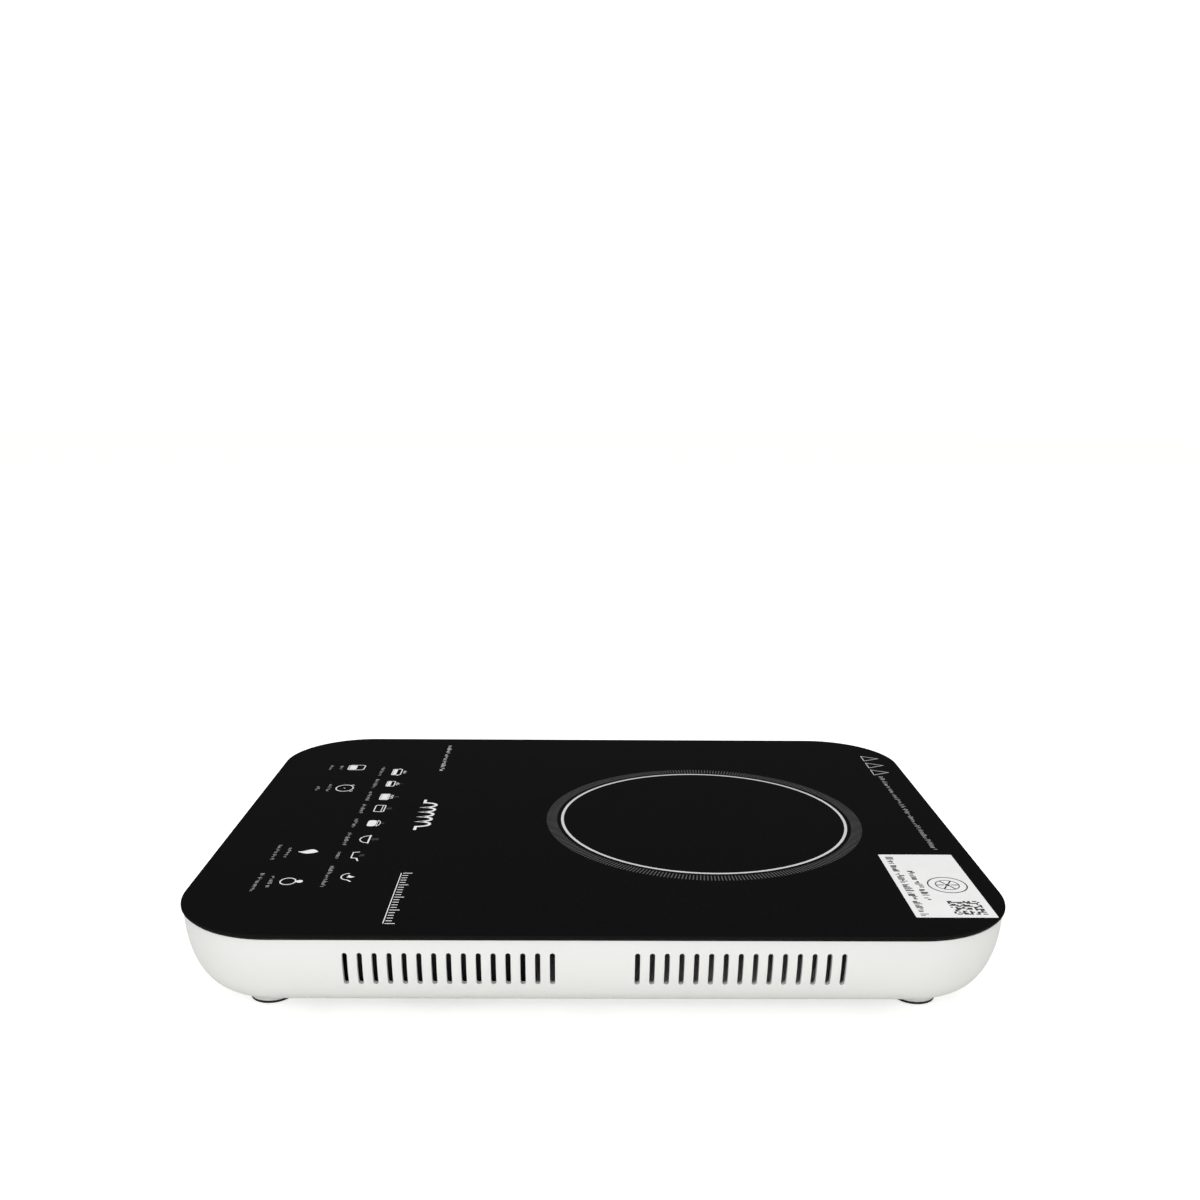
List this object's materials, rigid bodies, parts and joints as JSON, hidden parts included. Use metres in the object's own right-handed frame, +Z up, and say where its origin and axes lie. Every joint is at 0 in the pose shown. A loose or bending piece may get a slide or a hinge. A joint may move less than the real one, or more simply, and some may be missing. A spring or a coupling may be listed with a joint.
{
  "type": "portable induction cooktop",
  "caption": "Slim single-zone portable induction cooktop: black glass plate on a white moulded housing with side vents, feet, coil, boards and a spinning cooling fan.",
  "frame": {"origin": "middle of the cooktop's footprint, on the surface that the four feet stand on", "axes": "+Z up out of the glass; -Y towards the user, where the keys are; +Y towards the cooking zone and the rear; +X to the user's right"},
  "size_m": [0.28, 0.36, 0.0435],
  "materials": {
    "black_glass": "polished, opaque black glass-ceramic",
    "white_plastic": "fine satin moulded",
    "dark_rubber": "matte",
    "silicone": "matte translucent grey",
    "dark_plastic": "moulded",
    "carrier_plastic": "glass-filled moulded",
    "copper": "enamelled stranded copper",
    "mica": "pressed mica",
    "ferrite": "sintered, matte",
    "zinc_steel": "zinc plated",
    "aluminium": "extruded",
    "board_green": "solder resist on glass-fibre board",
    "film_capacitor": "moulded box",
    "component_black": "moulded epoxy",
    "winding_enamel": "enamelled wire",
    "lead_sleeve": "glass-fibre sleeve",
    "lead_red": "insulation",
    "ribbon_grey": "flat cable insulation",
    "sintered_bronze": "sintered",
    "magnet": "bonded magnet"
  },
  "bodies": {
    "cooktop_body": {"base_housing": "white_plastic", "bridge_rectifier": "component_black", "buzzer": "component_black", "coil_carrier": "carrier_plastic", "coil_inner_lead": "lead_sleeve", "coil_outer_lead": "lead_sleeve", "coil_screw_1": "zinc_steel", "coil_screw_2": "zinc_steel", "coil_screw_3": "zinc_steel", "coil_winding": "copper", "cord_gland": "dark_rubber", "dc_link_capacitor": "film_capacitor", "display_module": "component_black", "electrolytic_capacitor": "component_black", "fan_bearing": "sintered_bronze", "fan_frame": "dark_plastic", "fan_lead": "lead_red", "fan_stator": "winding_enamel", "ferrite_bar_1": "ferrite", "ferrite_bar_2": "ferrite", "ferrite_bar_3": "ferrite", "ferrite_bar_4": "ferrite", "ferrite_bar_5": "ferrite", "ferrite_bar_6": "ferrite", "filter_choke": "winding_enamel", "flame_key_spring": "zinc_steel", "front_left_foot": "dark_rubber", "front_right_foot": "dark_rubber", "fuse": "zinc_steel", "glass_bead": "silicone", "glass_carrier_frame": "dark_plastic", "glass_plate": "black_glass", "glass_temperature_sensor": "aluminium", "heatsink": "aluminium", "housing_screw_1": "zinc_steel", "housing_screw_2": "zinc_steel", "housing_screw_3": "zinc_steel", "housing_screw_4": "zinc_steel", "housing_screw_5": "zinc_steel", "housing_screw_6": "zinc_steel", "light_guide": "dark_plastic", "mains_filter_capacitor": "film_capacitor", "mica_sheet": "mica", "power_board": "board_green", "power_key_spring": "zinc_steel", "power_transistor": "component_black", "rear_left_foot": "dark_rubber", "rear_right_foot": "dark_rubber", "resonant_capacitor": "film_capacitor", "ribbon_cable": "ribbon_grey", "sensor_lead": "lead_sleeve", "sensor_seat": "silicone", "switching_transformer": "ferrite", "temperature_key_spring": "zinc_steel", "terminal_block": "white_plastic", "timer_key_spring": "zinc_steel", "touch_board": "board_green"},
    "fan_rotor": {"fan_impeller": "dark_plastic", "fan_magnet_ring": "magnet", "fan_shaft": "zinc_steel"}
  },
  "joints": [
    {"name": "fan_spin", "type": "hinge", "parent": "cooktop_body", "child": "fan_rotor", "pos_m": [0.082, -0.066, 0.018], "axis": [0, 0, 1], "continuous": true}
  ]
}
